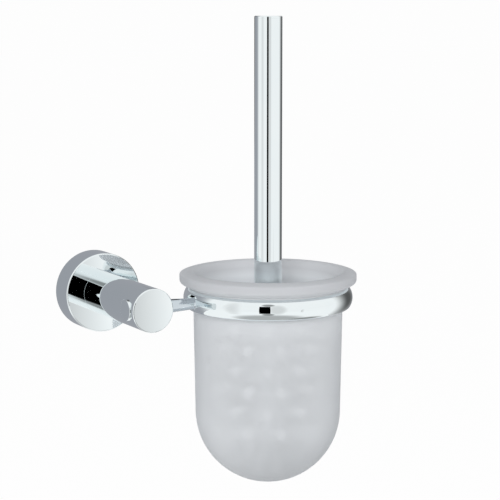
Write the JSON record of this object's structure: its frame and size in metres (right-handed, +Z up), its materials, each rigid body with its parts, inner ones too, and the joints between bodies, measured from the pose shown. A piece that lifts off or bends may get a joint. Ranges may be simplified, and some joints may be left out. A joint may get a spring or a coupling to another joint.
{
  "type": "toilet brush holder",
  "caption": "Wall-mounted toilet brush set: rosette and post carry an arm and ring, in which a frosted glass bowl hangs by its rim and holds a tube-handled brush.",
  "frame": {"origin": "centre of the mounting face, on the wall, on the post's axis", "axes": "+Z up along the bowl's and brush's axis, -Y out of the wall along the post, +X along the arm from the post to the bowl"},
  "size_m": [0.1721, 0.1411, 0.3044],
  "materials": {
    "chrome_plate": "polished chrome plate on brass",
    "chrome_tube": "polished chrome plate on steel tube",
    "cast_zinc": "plain die-cast zinc, matte",
    "screw_steel": "zinc-plated steel",
    "turned_brass": "turned brass",
    "frosted_glass": "acid-frosted satin glass",
    "clear_sleeve": "clear soft plastic",
    "insert_plastic": "moulded white plastic",
    "core_plastic": "moulded white plastic",
    "bristle_nylon": "crimped white nylon bristle"
  },
  "bodies": {
    "holder": {"wall_bracket": "cast_zinc", "rosette": "chrome_plate", "rosette_grub_screw": "screw_steel", "post": "chrome_plate", "post_anchor": "turned_brass", "post_screw_washer": "screw_steel", "post_screw": "screw_steel", "support_arm": "chrome_plate", "arm_screw": "screw_steel", "arm_screw_washer": "screw_steel", "arm_cap_plug": "chrome_plate", "support_ring": "chrome_plate", "ring_liner": "clear_sleeve"},
    "bowl": {"glass_bowl": "frosted_glass"},
    "brush": {"handle_tube": "chrome_tube", "handle_end_cap": "chrome_tube", "handle_insert": "insert_plastic", "brush_core": "core_plastic", "tuft_row_1": "bristle_nylon", "tuft_row_2": "bristle_nylon", "tuft_row_3": "bristle_nylon", "tuft_row_4": "bristle_nylon", "tuft_row_5": "bristle_nylon", "tuft_row_6": "bristle_nylon", "tuft_row_7": "bristle_nylon", "tuft_row_8": "bristle_nylon", "tuft_nose": "bristle_nylon"}
  },
  "joints": [
    {"name": "bowl_lift", "type": "slide", "parent": "holder", "child": "bowl", "axis": [0, 0, 1], "range_m": [0, 0.15]},
    {"name": "brush_lift", "type": "slide", "parent": "bowl", "child": "brush", "axis": [0, 0, 1], "range_m": [0, 0.15]}
  ]
}
